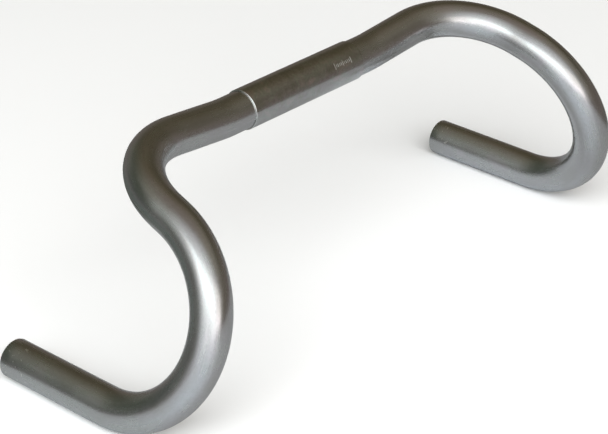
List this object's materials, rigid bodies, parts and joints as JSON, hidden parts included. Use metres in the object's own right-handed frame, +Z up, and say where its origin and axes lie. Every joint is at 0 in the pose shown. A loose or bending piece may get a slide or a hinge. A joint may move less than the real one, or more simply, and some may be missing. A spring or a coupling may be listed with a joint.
{
  "type": "drop handlebar",
  "caption": "Bare aluminium drop handlebar whose tops rise gently and whose hooks flare outwards, with a thicker sleeve for the stem clamp in the middle.",
  "frame": {"origin": "the middle of the clamp sleeve, on the tube's axis", "axes": "+X to the rider's right along the clamp's axis, +Y forwards away from the rider, +Z up; the straight ends of the drops lie level along Y"},
  "size_m": [0.4282, 0.1479, 0.1472],
  "materials": {
    "bar_aluminium": "satin anodised",
    "sleeve_aluminium": "turned, lightly scuffed"
  },
  "bodies": {
    "root": {"bar_tube": "bar_aluminium", "clamp_sleeve": "sleeve_aluminium"}
  },
  "joints": []
}
